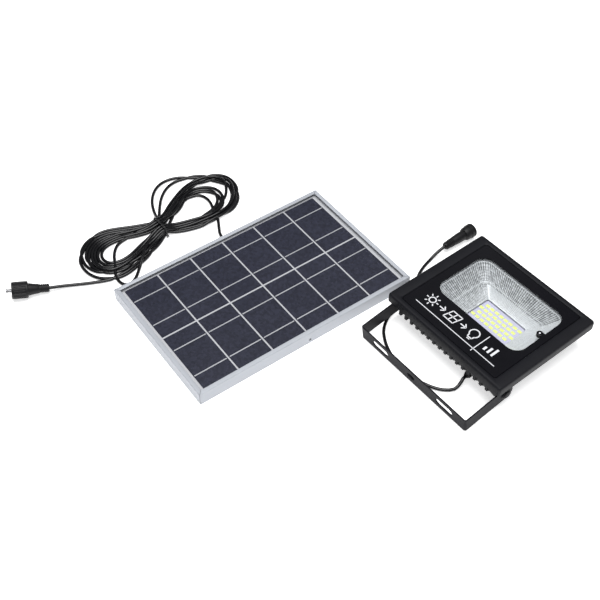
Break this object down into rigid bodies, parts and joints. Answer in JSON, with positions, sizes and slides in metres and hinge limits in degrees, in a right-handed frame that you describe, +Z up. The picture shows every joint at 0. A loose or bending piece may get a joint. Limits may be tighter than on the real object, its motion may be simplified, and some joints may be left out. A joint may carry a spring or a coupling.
{
  "type": "solar flood light",
  "caption": "Square flood light on a tilting yoke with a separate framed solar panel; both leads end in waterproof screw connectors.",
  "frame": {"origin": "on the floor, under the middle of the box round the lamp and the panel, leads left out", "axes": "+Z up out of the lamp's glass and the panel's glass; +X along the lamp's hinge line; +Y from the yoke's crossbar towards the lamp"},
  "size_m": [0.4798, 0.4506, 0.0391],
  "materials": {
    "frame_aluminium": "anodised, satin",
    "panel_glass": "clear, tempered",
    "silicon_cells": "dark slate blue, mottled",
    "back_sheet": "white",
    "lamp_paint": "black powder coat",
    "yoke_paint": "grey-black powder coat",
    "lamp_glass": "clear with a black printed border",
    "reflector": "silvered, faceted",
    "led_board": "white board with yellow light-emitting diodes",
    "control_board": "green",
    "battery_sleeve": "blue",
    "black_plastic": "moulded",
    "black_rubber": "satin",
    "lead_jacket": "satin jacket",
    "steel": "zinc plated"
  },
  "bodies": {
    "panel": {"panel_rail_front": "frame_aluminium", "panel_rail_right": "frame_aluminium", "panel_rail_back": "frame_aluminium", "panel_rail_left": "frame_aluminium", "corner_key_1": "black_plastic", "corner_key_2": "black_plastic", "corner_key_3": "black_plastic", "corner_key_4": "black_plastic", "panel_glass": "panel_glass", "cell_layer": "silicon_cells", "back_sheet": "back_sheet", "junction_box": "black_plastic", "junction_box_lid": "black_plastic", "lead_grommet": "black_rubber", "panel_lead": "lead_jacket", "lead_hank": "lead_jacket", "hank_tie": "lead_jacket", "panel_lead_tail": "lead_jacket", "plug_body": "black_rubber", "plug_o_ring": "black_rubber", "plug_pin": "steel"},
    "plug_nut": {"plug_nut": "black_plastic"},
    "lamp": {"rear_housing": "lamp_paint", "front_bezel": "lamp_paint", "lamp_glass": "lamp_glass", "glass_gasket": "black_rubber", "housing_seal": "black_rubber", "reflector": "reflector", "led_board": "led_board", "remote_sensor": "black_plastic", "control_board": "control_board", "battery_tray": "black_plastic", "battery_cell_1": "battery_sleeve", "battery_cell_2": "battery_sleeve", "bezel_screw_1": "steel", "bezel_screw_2": "steel", "bezel_screw_3": "steel", "bezel_screw_4": "steel", "pivot_bolt_left": "yoke_paint", "pivot_bolt_right": "yoke_paint", "pivot_washer_left": "yoke_paint", "pivot_washer_right": "yoke_paint", "lead_gland": "black_rubber", "lamp_lead": "lead_jacket", "socket_body": "black_rubber", "socket_sleeve": "black_plastic", "socket_insert": "black_plastic"},
    "yoke": {"yoke": "yoke_paint"}
  },
  "joints": [
    {"name": "lamp_lift_off", "type": "slide", "parent": "panel", "child": "lamp", "axis": [0, 0, 1], "range_m": [0, 0.25]},
    {"name": "yoke_tilt", "type": "hinge", "parent": "lamp", "child": "yoke", "pos_m": [0.0987, 0.0557, 0.0162], "axis": [1, 0, 0], "range_deg": [-7, 140], "deforming": ["lamp_lead"]},
    {"name": "nut_spin", "type": "hinge", "parent": "panel", "child": "plug_nut", "pos_m": [-0.2397, -0.24168, 0.0103], "axis": [-0.3986, -0.9037, 0.1564], "continuous": true}
  ]
}
